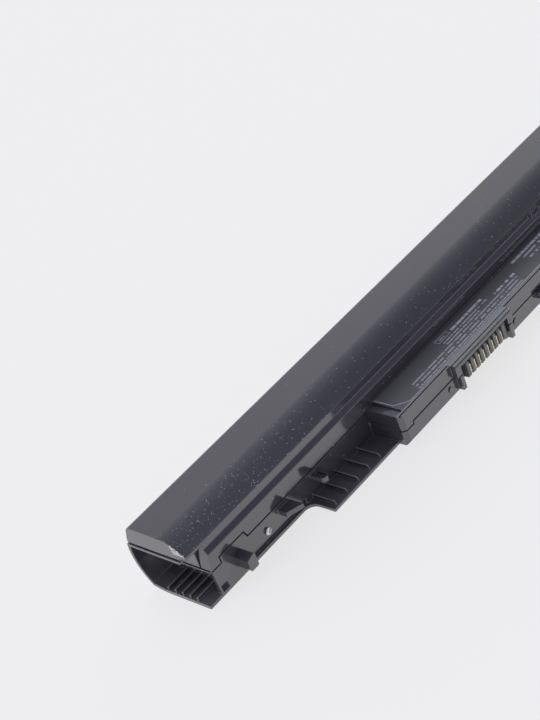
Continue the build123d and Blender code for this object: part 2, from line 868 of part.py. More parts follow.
os.makedirs("parts", exist_ok=True)
shells = [upper_case, lower_case, label, connector_housing]
inside = [negative_tab, positive_tab, insulator_sheet, circuit_board]
for piece in shells + inside + contacts + cells + rings + links + board_parts:
    export_step(piece.part, f"parts/{piece.part.label}.step")
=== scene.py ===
"""Studio scene of a laptop battery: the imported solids, dressed, lit and framed.

Metres, in the frame of the solids: X along the cells, -Y towards the connector, +Z up.
"""

import logging
import math
from collections.abc import Mapping
from dataclasses import dataclass
from enum import Enum
from functools import reduce
from typing import Any

import bmesh
import bpy
import numpy as np
from mathutils import Matrix, Vector


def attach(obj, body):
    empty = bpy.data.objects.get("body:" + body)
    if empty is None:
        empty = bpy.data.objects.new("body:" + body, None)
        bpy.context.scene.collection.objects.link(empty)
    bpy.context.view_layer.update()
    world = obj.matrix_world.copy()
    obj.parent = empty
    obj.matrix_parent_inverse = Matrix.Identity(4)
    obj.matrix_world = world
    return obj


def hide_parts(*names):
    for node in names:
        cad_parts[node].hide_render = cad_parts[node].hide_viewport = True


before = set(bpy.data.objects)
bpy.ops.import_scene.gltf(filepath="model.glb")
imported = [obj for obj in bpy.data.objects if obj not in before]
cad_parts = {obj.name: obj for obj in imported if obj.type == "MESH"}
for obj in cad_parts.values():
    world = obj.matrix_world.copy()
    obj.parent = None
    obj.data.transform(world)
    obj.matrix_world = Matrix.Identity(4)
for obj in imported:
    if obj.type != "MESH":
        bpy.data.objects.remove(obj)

LOG = logging.getLogger("battery")
MM = 0.001
BODY = "root"

Colour = tuple[float, float, float]


class Slot(Enum):
    """The record's material slots."""

    CASE = "case_plastic"
    COMB = "connector_plastic"
    FILM = "label_film"
    SLEEVE = "cell_sleeve"
    NICKEL = "nickel"
    GOLD = "gold"
    BOARD = "board"
    CHIP = "chip"
    FUSE = "ceramic_fuse"
    PAPER = "paper"


class Shade:
    """A shader socket that takes part in Python expressions on values."""

    def __init__(self, graph: "Graph", socket: bpy.types.NodeSocket) -> None:
        """Keeps the socket and the graph that new nodes go into."""
        self.graph = graph
        self.socket = socket

    def __add__(self, other: "Shade | float") -> "Shade":
        """self + other."""
        return self.graph.maths("ADD", self, other)

    __radd__ = __add__

    def __sub__(self, other: "Shade | float") -> "Shade":
        """self - other."""
        return self.graph.maths("SUBTRACT", self, other)

    def __rsub__(self, other: float) -> "Shade":
        """other - self."""
        return self.graph.maths("SUBTRACT", other, self)

    def __mul__(self, other: "Shade | float") -> "Shade":
        """self * other."""
        return self.graph.maths("MULTIPLY", self, other)

    __rmul__ = __mul__

    def __truediv__(self, other: "Shade | float") -> "Shade":
        """self / other."""
        return self.graph.maths("DIVIDE", self, other)

    def __abs__(self) -> "Shade":
        """The size of self, without its sign."""
        return self.graph.maths("ABSOLUTE", self, 0.0)

    def floor(self) -> "Shade":
        """The whole number at or below self."""
        return self.graph.maths("FLOOR", self, 0.0)

    def most(self, other: "Shade | float") -> "Shade":
        """The larger of self and other."""
        return self.graph.maths("MAXIMUM", self, other)

    def least(self, other: "Shade | float") -> "Shade":
        """The smaller of self and other."""
        return self.graph.maths("MINIMUM", self, other)

    def rises(self, low: float, high: float) -> "Shade":
        """A smooth step: 0 at low and 1 at high, which may be the smaller of the two."""
        settings = {"interpolation_type": "SMOOTHSTEP"}
        inputs = {"Value": self, "From Min": low, "From Max": high}
        return self.graph.node("ShaderNodeMapRange", settings, inputs)

    def beside(self, name: str) -> "Shade":
        """Another output of the node that self comes from."""
        return Shade(self.graph, self.socket.node.outputs[name])


class Graph:
    """The node tree of one material or of the world."""

    def __init__(self, tree: bpy.types.NodeTree) -> None:
        """Keeps the tree."""
        self.tree = tree

    def node(
        self,
        kind: str,
        settings: Mapping[str, Any] | None = None,
        inputs: Mapping[str | int, Any] | None = None,
        out: str | int = 0,
    ) -> Shade:
        """Adds one node.

        Args:
            kind: The node's type name.
            settings: Attributes, set first.
            inputs: Values or links of its sockets, by name, identifier or place.
            out: The output to return, by name, identifier or place.

        Returns:
            The chosen output.
        """
        made = self.tree.nodes.new(kind)
        for name, value in (settings or {}).items():
            setattr(made, name, value)
        for key, value in (inputs or {}).items():
            self.feed(self.find(made.inputs, key), value)
        return Shade(self, self.find(made.outputs, out))

    def find(self, sockets: Any, key: str | int) -> bpy.types.NodeSocket:
        """The socket with this identifier, or else with this name or place."""
        return next((s for s in sockets if s.identifier == key), None) or sockets[key]

    def feed(self, socket: bpy.types.NodeSocket, value: Any) -> None:
        """Links a shade to a socket, or sets the socket's own value."""
        if isinstance(value, Shade):
            self.tree.links.new(value.socket, socket)
        elif socket.type == "RGBA":
            socket.default_value = (*value, 1.0)
        else:
            socket.default_value = value

    def maths(self, operation: str, a: Shade | float, b: Shade | float) -> Shade:
        """A Math node on two values."""
        return self.node("ShaderNodeMath", {"operation": operation}, {0: a, 1: b})

    def blend(self, share: Shade | float, a: Shade | Colour, b: Shade | Colour) -> Shade:
        """A colour that goes from a to b as share goes from 0 to 1."""
        inputs = {"Factor_Float": share, "A_Color": a, "B_Color": b}
        return self.node("ShaderNodeMix", {"data_type": "RGBA"}, inputs, "Result_Color")

    def place(self) -> Shade:
        """The point on the piece, in metres, in the frame of the solids."""
        return self.node("ShaderNodeTexCoord", out="Object")

    def facing(self) -> tuple[Shade, Shade, Shade]:
        """The three parts of the surface's normal."""
        return self.axes(self.node("ShaderNodeTexCoord", out="Normal"))

    def axes(self, vector: Shade) -> tuple[Shade, Shade, Shade]:
        """The three parts of a vector."""
        first = self.node("ShaderNodeSeparateXYZ", {}, {0: vector})
        return first, first.beside("Y"), first.beside("Z")

    def stretched(self, x: float, y: float, z: float) -> Shade:
        """The point on the piece, with each axis scaled."""
        inputs = {0: self.place(), 1: (x, y, z)}
        return self.node("ShaderNodeVectorMath", {"operation": "MULTIPLY"}, inputs)

    def joined(self, x: Shade | float, y: Shade | float, z: Shade | float) -> Shade:
        """A vector from its three parts."""
        return self.node("ShaderNodeCombineXYZ", {}, {0: x, 1: y, 2: z})

    def noise(self, scale: float, detail: float = 2.0, vector: Shade | None = None) -> Shade:
        """Noise from 0 to 1, with scale in features per metre of the vector."""
        inputs = {"Vector": vector or self.place(), "Scale": scale, "Detail": detail}
        return self.node("ShaderNodeTexNoise", {}, inputs)

    def bump(self, height: Shade, depth: float, strength: float) -> Shade:
        """A normal from a height of 0 to 1 that stands for depth metres."""
        inputs = {"Strength": strength, "Distance": depth, "Height": height}
        return self.node("ShaderNodeBump", {}, inputs)


@dataclass(frozen=True)
class Finish:
    """What every finish has: its colour, its gloss and how it takes the light."""

    colour: Colour
    roughness: float
    metallic: float = 0.0
    specular: float = 0.5

    def material(self, slot: Slot) -> bpy.types.Material:
        """Makes the material.

        Args:
            slot: The record's slot, which names the material.

        Returns:
            A material with one shader, whose details come from paint.
        """
        made = bpy.data.materials.new(slot.value)
        made.use_nodes = True
        surface = made.node_tree.nodes["Principled BSDF"]
        surface.inputs["Metallic"].default_value = self.metallic
        surface.inputs["Specular IOR Level"].default_value = self.specular
        self.paint(Graph(made.node_tree), surface.inputs)
        return made

    def paint(self, graph: Graph, surface: Any) -> None:
        """Feeds the shader's inputs, each finish in its own way.

        Args:
            graph: The material's nodes.
            surface: The shader's inputs.
        """
        raise NotImplementedError


@dataclass(frozen=True)
class CasePlastic(Finish):
    """Black plastic: a grained outer skin, polished inner walls, dust, a scuffed corner, and painted light
    on the block margin, rib tops, scoops, sill and pins.
    """

    skin: Colour = (0.06, 0.06, 0.07)
    skin_roughness: float = 0.46
    polish: float = 1.0
    dust: Colour = (0.9, 0.9, 0.94)
    dust_size: float = 0.5 * MM
    lip_z: float = 16.6 * MM
    left_x: float = -136.45 * MM
    # colour of the painted light laid on the margin, rib tops, scoops and sill
    lit: Colour = (0.33, 0.33, 0.31)
    margin_y: float = -15.9 * MM
    margin_z: float = 9.55 * MM
    scoop_x: float = 131.6 * MM
    scoop_z: float = 11.5 * MM
    scoop_share: float = 0.3
    sill_z: float = 2.5 * MM
    sill_share: float = 0.14
    rib_low: float = 1.95 * MM
    rib_high: float = 2.2 * MM
    rib_share: float = 0.6
    haze: float = 0.035
    # pale colour laid in noise patches on the pins' end faces: painted highlights
    pin: Colour = (0.8, 0.8, 0.78)
    pin_place: tuple[float, float, float] = (111.4 * MM, -5.1 * MM, 4.55 * MM)
    pin_radius: float = 1.0 * MM
    grain: float = 3200.0
    grain_depth: float = 0.03 * MM

    def outside(self, graph: Graph) -> Shade:
        """1 on the grained skin, which is the hump, the back and the underside, and 0 on the walls.

        Args:
            graph: The material's nodes.

        Returns:
            The share of skin.
        """
        _, y, z = graph.axes(graph.place())
        nx, ny, nz = graph.facing()
        hump = z.rises(self.lip_z - 0.3 * MM, self.lip_z)
        back = ny.rises(0.1, 0.25) * y.rises(9.0 * MM, 10.0 * MM)
        under = nz.rises(-0.6, -0.8) * z.rises(1.0 * MM, 0.8 * MM)
        return hump.most(back).most(under) * abs(nx).rises(0.7, 0.5)

    def specks(self, graph: Graph, skin: Shade) -> Shade:
        """1 on dust specks, small balls round scattered points, over a thin haze near the left end.

        Args:
            graph: The material's nodes.
            skin: The share of skin.

        Returns:
            The share of dust.
        """
        x, y, _ = graph.axes(graph.place())
        front = y.rises(7.0 * MM, 1.0 * MM) * skin
        near_end = x.rises(-50.0 * MM, self.left_x)
        settled = 0.02 + front * (0.06 + 0.45 * near_end) * (0.3 + 1.3 * graph.noise(140.0))
        inputs = {"Vector": graph.place(), "Scale": 1.0 / self.dust_size}
        ball = graph.node("ShaderNodeTexVoronoi", {}, inputs, "Distance")
        chance, size, _ = graph.axes(ball.beside("Color"))
        specks = (settled - chance).rises(0.0, 0.02) * (0.13 + 0.13 * size - ball).rises(0.0, 0.04)
        return specks.most(self.haze * front * near_end)

    def scuff(self, graph: Graph) -> Shade:
        """1 where the hump's front corner at the left end is rubbed pale.

        Args:
            graph: The material's nodes.

        Returns:
            The share of scuff.
        """
        x, y, z = graph.axes(graph.place())
        edge = (x - self.left_x).rises(0.85 * MM, 0.25 * MM)
        stretch = y.rises(2.6 * MM, 0.4 * MM) * z.rises(self.lip_z - 0.2 * MM, self.lip_z + 0.2 * MM)
        return (edge * stretch * graph.noise(2600.0, 4.0)).rises(0.36, 0.54)

    def painted_light(self, graph: Graph) -> Shade:
        """Painted light: a paler colour on up-facing faces of the block's front margin, the rib tops, the
        scoops and the sill, painting highlights on the margin and ribs and lifting the shade in the scoops
        and on the sill.

        Args:
            graph: The material's nodes.

        Returns:
            The share of the painted light colour.
        """
        x, y, z = graph.axes(graph.place())
        up = graph.facing()[2].rises(0.3, 0.7)
        margin = (y - self.margin_y).rises(0.1 * MM, -0.1 * MM)
        margin = margin * z.rises(self.margin_z - 0.1 * MM, self.margin_z)
        low = z.rises(self.scoop_z + 1.0 * MM, self.scoop_z)
        scoop = self.scoop_share * abs(x).rises(self.scoop_x - 0.4 * MM, self.scoop_x) * low
        sill = self.sill_share * z.rises(self.sill_z, self.sill_z - 0.3 * MM)
        above = z.rises(self.rib_low - 0.1 * MM, self.rib_low)
        ribs = self.rib_share * above * z.rises(self.rib_high + 0.1 * MM, self.rib_high)
        return margin.most(scoop).most(sill).most(ribs) * up

    def pin_glints(self, graph: Graph) -> Shade:
        """1 on the end face of the round pin near each end of the front wall, and 0 beyond its radius:
        where pale metallic patches paint highlights.

        Args:
            graph: The material's nodes.

        Returns:
            The share of painted pin highlight.
        """
        x, y, z = graph.axes(graph.place())
        across, rise = abs(x) - self.pin_place[0], z - self.pin_place[2]
        reach = (across * across + rise * rise) / (self.pin_radius * self.pin_radius)
        return reach.rises(1.1, 1.0) * y.rises(self.pin_place[1] + 0.03 * MM, self.pin_place[1])

    def paint(self, graph: Graph, surface: Any) -> None:
        """Colour, gloss and grain by zone, with painted light on the margin, rib tops, scoops, sill and
        pins, and dust and the scuff on top.

        Args:
            graph: The material's nodes.
            surface: The shader's inputs.
        """
        skin = self.outside(graph)
        pale = self.specks(graph, skin).most(self.scuff(graph))
        grain = graph.noise(self.grain, 3.0)
        drift = 0.85 + 0.3 * graph.noise(35.0)
        pin_glints = self.pin_glints(graph)
        # plain: the plastic colour with painted light on the margin, rib tops, scoops and sill, then
        # painted pin highlights
        plain = graph.blend(self.painted_light(graph), graph.blend(skin, self.colour, self.skin), self.lit)
        # pale metallic patches, placed by noise, paint highlights on the pins
        plain = graph.blend(pin_glints * graph.noise(1500.0).rises(0.35, 0.6), plain, self.pin)
        graph.feed(surface["Metallic"], 0.8 * pin_glints)
        shaded = graph.node(
            "ShaderNodeMix",
            {"data_type": "RGBA", "blend_type": "MULTIPLY"},
            {"Factor_Float": 1.0, "A_Color": plain, "B_Color": graph.joined(drift, drift, drift)},
            "Result_Color",
        )
        graph.feed(surface["Base Color"], graph.blend(pale, shaded, self.dust))
        smear = 0.06 * graph.noise(90.0, 3.0) + 0.2 * graph.facing()[2].rises(0.5, 0.9)
        zone = self.roughness + smear * (1 - skin) + skin * (self.skin_roughness - self.roughness)
        graph.feed(surface["Roughness"], zone + 0.12 * skin * (grain - 0.5) + 0.3 * pale)
        end = abs(graph.facing()[0]).rises(0.7, 0.9)
        graph.feed(surface["Coat Weight"], (1 - skin) * (1 - pale) * (1 - 0.6 * end) * self.polish)
        surface["Coat Roughness"].default_value = 0.1
        height = grain * (0.04 + 0.96 * skin)
        graph.feed(surface["Normal"], graph.bump(height, self.grain_depth, 0.35))


@dataclass(frozen=True)
class CombPlastic(Finish):
    """Grey-black filled plastic, a little warm, drawn out along the fins."""

    def paint(self, graph: Graph, surface: Any) -> None:
        """Colour and gloss streaked along the fins, and a fine grain.

        Args:
            graph: The material's nodes.
            surface: The shader's inputs.
        """
        streak = graph.noise(1500.0, 2.0, graph.stretched(1.0, 0.6, 0.15))
        grain = graph.noise(6000.0)
        darker = tuple(0.75 * part for part in self.colour)
        graph.feed(surface["Base Color"], graph.blend(streak, darker, self.colour))
        graph.feed(surface["Roughness"], self.roughness + 0.15 * (streak - 0.5))
        graph.feed(surface["Normal"], graph.bump(grain, 0.01 * MM, 0.3))


@dataclass(frozen=True)
class PrintRow:
    """One row of print as a broken light bar, in millimetres: its middle, its ends and its height."""

    y: float
    start: float
    stop: float
    height: float
    share: float = 0.75


@dataclass(frozen=True)
class LabelFilm(Finish):
    """Dark printed film with a pale cut edge, rows of plain light bars and one outlined box."""

    print_colour: Colour = (0.8, 0.81, 0.82)
    edge_colour: Colour = (0.75, 0.76, 0.76)
    half_length: float = 63.75 * MM
    front_y: float = -15.9 * MM
    corner: float = 3.4 * MM
    rows: tuple[PrintRow, ...] = (
        PrintRow(-12.2, -55.0, -3.6, 0.55),
        PrintRow(-13.6, -55.1, -4.0, 0.55),
        PrintRow(-15.0, -55.3, -4.8, 0.5),
        PrintRow(-8.1, -30.9, -15.4, 1.0, 1.0),
        PrintRow(-7.75, -35.9, -33.1, 0.6),
        PrintRow(-9.75, -36.6, -15.3, 0.55),
        PrintRow(-10.95, -36.6, -20.7, 0.55),
        PrintRow(-10.6, -13.0, -2.6, 0.85, 1.0),
        PrintRow(-7.0, 1.3, 24.0, 1.0, 1.0),
        PrintRow(-8.8, 4.8, 30.0, 0.8),
        PrintRow(-10.7, 5.5, 27.0, 0.8),
    )
    run_scale: float = 1500.0
    box_middle: tuple[float, float] = (-34.4 * MM, -7.7 * MM)
    box_half: tuple[float, float] = (2.55 * MM, 0.9 * MM)
    box_line: float = 0.14 * MM
    box_share: float = 0.8
    edge_width: float = 0.3 * MM
    blur: float = 0.06 * MM

    def rim(self, graph: Graph) -> Shade:
        """1 along the film's outline, within edge_width of its cut edge.

        Args:
            graph: The material's nodes.

        Returns:
            The share of edge.
        """
        x, y, _ = graph.axes(graph.place())
        side = self.half_length - abs(x)
        front = y - self.front_y
        slant = (side + front - self.corner) * math.sqrt(0.5)
        return side.least(front).least(slant).rises(self.edge_width, self.edge_width - 0.1 * MM)

    def bar(self, graph: Graph, row: PrintRow) -> Shade:
        """One row: a band along X, which a noise along X cuts into short runs.

        Args:
            graph: The material's nodes.
            row: The row's place and size.

        Returns:
            The share of print.
        """
        x, y, _ = graph.axes(graph.place())
        middle, half = (row.start + row.stop) / 2 * MM, (row.stop - row.start) / 2 * MM
        rise = row.height / 2 * MM
        band = abs(y - row.y * MM).rises(rise + self.blur, rise - self.blur)
        reach = abs(x - middle).rises(half, half - 0.1 * MM)
        spread = graph.joined(x * self.run_scale, row.y, 0.0)
        runs = graph.noise(1.0, 1.0, spread).rises(0.4, 0.47)
        return band * reach * runs * row.share

    def box(self, graph: Graph) -> Shade:
        """A thin line round a rectangle, whose distance is the larger of those to its two pairs of sides.

        Args:
            graph: The material's nodes.

        Returns:
            The share of print.
        """
        x, y, _ = graph.axes(graph.place())
        across = abs(x - self.box_middle[0]) - self.box_half[0]
        along = abs(y - self.box_middle[1]) - self.box_half[1]
        return abs(across.most(along)).rises(self.box_line, self.box_line / 2) * self.box_share

    def printing(self, graph: Graph) -> Shade:
        """All the print: the box and the rows."""
        return reduce(Shade.most, (self.bar(graph, row) for row in self.rows), self.box(graph))

    def paint(self, graph: Graph, surface: Any) -> None:
        """Film colour, print and edge, and a soft gloss with a faint orange peel.

        Args:
            graph: The material's nodes.
            surface: The shader's inputs.
        """
        _, _, nz = graph.facing()
        top = nz.rises(0.4, 0.6)
        peel = graph.noise(900.0)
        darker = tuple(0.85 * part for part in self.colour)
        film = graph.blend(graph.noise(50.0), darker, self.colour)
        printed = graph.blend(self.printing(graph) * top * (0.7 + 0.6 * peel), film, self.print_colour)
        edge = (self.rim(graph) * (0.35 + 0.9 * graph.noise(700.0))).most(1 - top)
        graph.feed(surface["Base Color"], graph.blend(edge, printed, self.edge_colour))
        graph.feed(surface["Roughness"], self.roughness + 0.1 * (peel - 0.5) + 0.2 * edge)
        graph.feed(surface["Normal"], graph.bump(peel, 0.01 * MM, 0.12))


@dataclass(frozen=True)
class CellSleeve(Finish):
    """Shrink film round a steel can, whose ends are bare."""

    steel: Colour = (0.62, 0.61, 0.59)

    def paint(self, graph: Graph, surface: Any) -> None:
        """Film with fine stretch lines, and bare brushed steel on the ends.

        Args:
            graph: The material's nodes.
            surface: The shader's inputs.
        """
        bare = abs(graph.facing()[0]).rises(0.6, 0.8)
        lines = graph.noise(900.0, 3.0, graph.stretched(0.08, 1.0, 1.0))
        darker = tuple(0.75 * part for part in self.colour)
        film = graph.blend(lines, darker, self.colour)
        graph.feed(surface["Base Color"], graph.blend(bare, film, self.steel))
        graph.feed(surface["Metallic"], bare)
        graph.feed(surface["Roughness"], self.roughness + 0.2 * (lines - 0.5))
        graph.feed(surface["Normal"], graph.bump(lines, 0.02 * MM, 0.3))


@dataclass(frozen=True)
class NickelStrip(Finish):
    """Rolled nickel with dull weld spots over the ends of the cells."""

    cell_y: float = 8.1 * MM
    cell_z: float = 10.15 * MM
    spot_offset: float = 1.2 * MM
    spot_radius: float = 0.55 * MM

    def paint(self, graph: Graph, surface: Any) -> None:
        """Rolling lines, and four round weld spots mirrored about each cell's axis.

        Args:
            graph: The material's nodes.
            surface: The shader's inputs.
        """
        _, y, z = graph.axes(graph.place())
        across = abs(y - self.cell_y) - self.spot_offset
        along = abs(z - self.cell_z) - self.spot_offset
        reach = (across * across + along * along) / (self.spot_radius * self.spot_radius)
        spot = reach.rises(1.2, 0.7)
        roll = graph.noise(2500.0, 2.0, graph.stretched(0.05, 0.05, 1.0))
        darker = tuple(0.55 * part for part in self.colour)
        graph.feed(surface["Base Color"], graph.blend(0.25 * roll + 0.6 * spot, self.colour, darker))
        graph.feed(surface["Roughness"], self.roughness + 0.15 * roll + 0.25 * spot)
        graph.feed(surface["Normal"], graph.bump(1 - spot, 0.08 * MM, 0.5))


@dataclass(frozen=True)
class GoldBlade(Finish):
    """Gold plating with rub lines and a little tarnish."""

    dull: Colour = (0.55, 0.38, 0.16)

    def paint(self, graph: Graph, surface: Any) -> None:
        """Rub lines along the blade, and darker patches.

        Args:
            graph: The material's nodes.
            surface: The shader's inputs.
        """
        rub = graph.noise(6000.0, 2.0, graph.stretched(1.0, 0.05, 1.0))
        tarnish = graph.noise(800.0, 3.0).rises(0.5, 0.75)
        graph.feed(surface["Base Color"], graph.blend(0.6 * tarnish, self.colour, self.dull))
        graph.feed(surface["Roughness"], self.roughness + 0.2 * (rub - 0.5) + 0.2 * tarnish)


@dataclass(frozen=True)
class BoardMask(Finish):
    """Solder mask over copper runs, with bare pads along the back edge."""

    copper: Colour = (0.05, 0.24, 0.10)
    pad: Colour = (0.75, 0.6, 0.3)
    back_y: float = -2.15 * MM
    run_pitch: float = 1.1 * MM
    pad_pitch: float = 6.0 * MM

    def paint(self, graph: Graph, surface: Any) -> None:
        """Runs as bands along X that a noise bends and breaks, and a row of square pads.

        Args:
            graph: The material's nodes.
            surface: The shader's inputs.
        """
        x, y, _ = graph.axes(graph.place())
        bend = 3.0 * MM * graph.noise(60.0)
        turn = (y + bend) / self.run_pitch
        band = abs(turn - turn.floor() - 0.5).rises(0.26, 0.22)
        run = band * graph.noise(110.0).rises(0.4, 0.45)
        step = x / self.pad_pitch
        square = abs(step - step.floor() - 0.5).rises(0.24, 0.22)
        inward = self.back_y - y
        pad = square * inward.rises(0.3 * MM, 0.4 * MM) * inward.rises(2.3 * MM, 2.2 * MM)
        mask = graph.blend(run, self.colour, self.copper)
        graph.feed(surface["Base Color"], graph.blend(pad, mask, self.pad))
        graph.feed(surface["Metallic"], pad)
        graph.feed(surface["Roughness"], self.roughness + 0.1 * graph.noise(900.0) - 0.08 * run)
        graph.feed(surface["Normal"], graph.bump(run, 0.04 * MM, 0.5))


@dataclass(frozen=True)
class ChipResin(Finish):
    """Moulded resin with tinned legs along the lower edge of its sides."""

    leg: Colour = (0.7, 0.7, 0.7)
    board_top: float = 3.4 * MM
    leg_height: float = 0.35 * MM
    leg_pitch: float = 1.0 * MM

    def paint(self, graph: Graph, surface: Any) -> None:
        """Fine matt grain on top, and legs at an even pitch round the foot.

        Args:
            graph: The material's nodes.
            surface: The shader's inputs.
        """
        x, y, z = graph.axes(graph.place())
        _, _, nz = graph.facing()
        step = (x + y) / self.leg_pitch
        leg = abs(step - step.floor() - 0.5).rises(0.27, 0.23) * nz.rises(0.6, 0.4)
        leg = leg * (z - self.board_top).rises(self.leg_height, self.leg_height - 0.05 * MM)
        grain = graph.noise(9000.0)
        graph.feed(surface["Base Color"], graph.blend(leg, self.colour, self.leg))
        graph.feed(surface["Metallic"], leg)
        graph.feed(surface["Roughness"], self.roughness + 0.2 * (grain - 0.5) - 0.2 * leg)
        graph.feed(surface["Normal"], graph.bump(grain, 0.01 * MM, 0.4))


@dataclass(frozen=True)
class FuseCeramic(Finish):
    """Glazed ceramic with tinned end caps."""

    cap: Colour = (0.72, 0.71, 0.69)
    middle_x: float = 52.68 * MM
    body_half: float = 2.4 * MM

    def paint(self, graph: Graph, surface: Any) -> None:
        """Caps beyond body_half from the middle, and a mottled glaze between them.

        Args:
            graph: The material's nodes.
            surface: The shader's inputs.
        """
        x, _, _ = graph.axes(graph.place())
        cap = abs(x - self.middle_x).rises(self.body_half, self.body_half + 0.05 * MM)
        mottle = graph.noise(1200.0, 3.0)
        darker = tuple(0.88 * part for part in self.colour)
        glaze = graph.blend(mottle, darker, self.colour)
        graph.feed(surface["Base Color"], graph.blend(cap, glaze, self.cap))
        graph.feed(surface["Metallic"], cap)
        graph.feed(surface["Roughness"], self.roughness + 0.15 * (mottle - 0.5))


@dataclass(frozen=True)
class InsulatorPaper(Finish):
    """Pressed fibre paper."""

    def paint(self, graph: Graph, surface: Any) -> None:
        """Fibres as a stretched noise in colour and relief.

        Args:
            graph: The material's nodes.
            surface: The shader's inputs.
        """
        fibre = graph.noise(2400.0, 4.0, graph.stretched(0.3, 1.0, 1.0))
        darker = tuple(0.8 * part for part in self.colour)
        graph.feed(surface["Base Color"], graph.blend(fibre, darker, self.colour))
        graph.feed(surface["Roughness"], self.roughness + 0.1 * (fibre - 0.5))
        graph.feed(surface["Normal"], graph.bump(fibre, 0.03 * MM, 0.4))


FINISHES: dict[Slot, Finish] = {
    Slot.CASE: CasePlastic((0.06, 0.057, 0.07), 0.1, specular=0.9),
    Slot.COMB: CombPlastic((0.17, 0.163, 0.158), 0.32, specular=0.8),
    Slot.FILM: LabelFilm((0.175, 0.177, 0.176), 0.33, specular=0.6),
    Slot.SLEEVE: CellSleeve((0.05, 0.16, 0.32), 0.3),
    Slot.NICKEL: NickelStrip((0.72, 0.70, 0.66), 0.25, metallic=1.0),
    Slot.GOLD: GoldBlade((0.95, 0.85, 0.6), 0.35, metallic=1.0),
    Slot.BOARD: BoardMask((0.02, 0.13, 0.06), 0.32),
    Slot.CHIP: ChipResin((0.03, 0.03, 0.031), 0.5),
    Slot.FUSE: FuseCeramic((0.82, 0.80, 0.75), 0.3),
    Slot.PAPER: InsulatorPaper((0.74, 0.71, 0.62), 0.8),
}


@dataclass
class SubAssembly:
    """Pieces of the battery that belong together, each dressed in its slot's finish."""

    materials: Mapping[Slot, bpy.types.Material]
    edge_round: float = 0.12 * MM
    edge_angle: float = math.radians(35.0)
    merge: float = 0.001 * MM
    flatness: float = math.radians(0.5)
    room: float = 2.5

    def wear(self, piece: bpy.types.Object, slot: Slot) -> None:
        """Puts the slot's material on a piece, in place of any it had."""
        piece.data.materials.clear()
        piece.data.materials.append(self.materials[slot])
        LOG.info("%s wears %s", piece.name, slot.value)

    def dress(self, name: str, slot: Slot) -> None:
        """Dresses a solid as it is."""
        self.wear(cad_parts[name], slot)

    def mark_roomy(self, shape: bmesh.types.BMesh) -> None:
        """Gives a bevel weight to each sharp edge that has room for a rounding on both its faces.

        An edge has room on a face if every edge of that face which doesn't meet it lies further off
        than a few roundings. Points along each edge stand for the edge.

        Args:
            shape: The mesh being edited.
        """
        weight = shape.edges.layers.float.new("bevel_weight_edge")
        need = self.room * self.edge_round
        share = np.linspace(0.0, 1.0, 9)[:, None]
        tight = {edge for edge in shape.edges if edge.calc_length() < need}
        for face in shape.faces:
            edges = list(face.edges)
            ends = np.array([[vert.co for vert in edge.verts] for edge in edges])
            points = ends[:, None, 0] * (1 - share) + ends[:, None, 1] * share
            run = ends[:, 1] - ends[:, 0]
            for edge, start, along in zip(edges, ends[:, 0], run):
                off = points - start
                part = np.clip(off @ along / (along @ along), 0.0, 1.0)
                near = np.linalg.norm(off - part[..., None] * along, axis=2).min(axis=1) < need
                joined = {other for vert in edge.verts for other in vert.link_edges}
                tight.update(other for other, close in zip(edges, near) if close and other not in joined)
        for edge in shape.edges:
            sharp = edge.is_manifold and edge.calc_face_angle() > self.edge_angle
            edge[weight] = float(sharp and edge not in tight)

    def rounded(self, name: str, slot: Slot) -> bpy.types.Object:
        """A copy of a solid with merged faces, smooth curves and rounded edges.

        Args:
            name: The solid's node.
            slot: The record's slot for its finish.

        Returns:
            The new piece, which stands for the solid.
        """
        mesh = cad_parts[name].data.copy()
        shape = bmesh.new()
        shape.from_mesh(mesh)
        bmesh.ops.remove_doubles(shape, verts=shape.verts, dist=self.merge)
        bmesh.ops.dissolve_limit(
            shape, angle_limit=self.flatness, verts=shape.verts, edges=shape.edges, delimit={"NORMAL"}
        )
        self.mark_roomy(shape)
        shape.to_mesh(mesh)
        shape.free()
        if "custom_normal" in mesh.attributes:
            mesh.attributes.remove(mesh.attributes["custom_normal"])
        mesh.polygons.foreach_set("use_smooth", np.ones(len(mesh.polygons), dtype=bool))
        mesh.set_sharp_from_angle(angle=self.edge_angle)
        piece = bpy.data.objects.new(f"{name}_shell", mesh)
        bpy.context.collection.objects.link(piece)
        edges = piece.modifiers.new("edges", "BEVEL")
        edges.width = self.edge_round
        edges.segments = 2
        edges.limit_method = "WEIGHT"
        edges.use_clamp_overlap = False
        weighted = piece.modifiers.new("flats", "WEIGHTED_NORMAL")
        weighted.keep_sharp = True
        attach(piece, BODY)
        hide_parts(name)
        self.wear(piece, slot)
        return piece


@dataclass
class Case(SubAssembly):
    """The two moulded shells and the label on the raised block."""

    shells: tuple[str, ...] = ("upper_case", "lower_case")

    def build(self) -> None:
        """Rounds the shells' edges and dresses the label."""
        for name in self.shells:
            self.rounded(name, Slot.CASE)
        self.dress("label", Slot.FILM)


@dataclass
class Connector(SubAssembly):
    """The comb of fins and the gold blades between them."""

    edge_round: float = 0.25 * MM
    blade_count: int = 8

    def build(self) -> None:
        """Rounds the comb's edges and dresses the blades."""
        self.rounded("connector_housing", Slot.COMB)
        for number in range(1, self.blade_count + 1):
            self.dress(f"contact_{number}", Slot.GOLD)


@dataclass
class CellRow(SubAssembly):
    """The cells, their paper rings and the nickel strips that join them."""

    cell_count: int = 4

    def build(self) -> None:
        """Dresses the cells, rings, links, tabs and the paper sheet."""
        for number in range(1, self.cell_count + 1):
            self.dress(f"cell_{number}", Slot.SLEEVE)
            self.dress(f"insulator_ring_{number}", Slot.PAPER)
        for number in range(1, self.cell_count):
            self.dress(f"link_{number}", Slot.NICKEL)
        for name in ("negative_tab", "positive_tab"):
            self.dress(name, Slot.NICKEL)
        self.dress("insulator_sheet", Slot.PAPER)


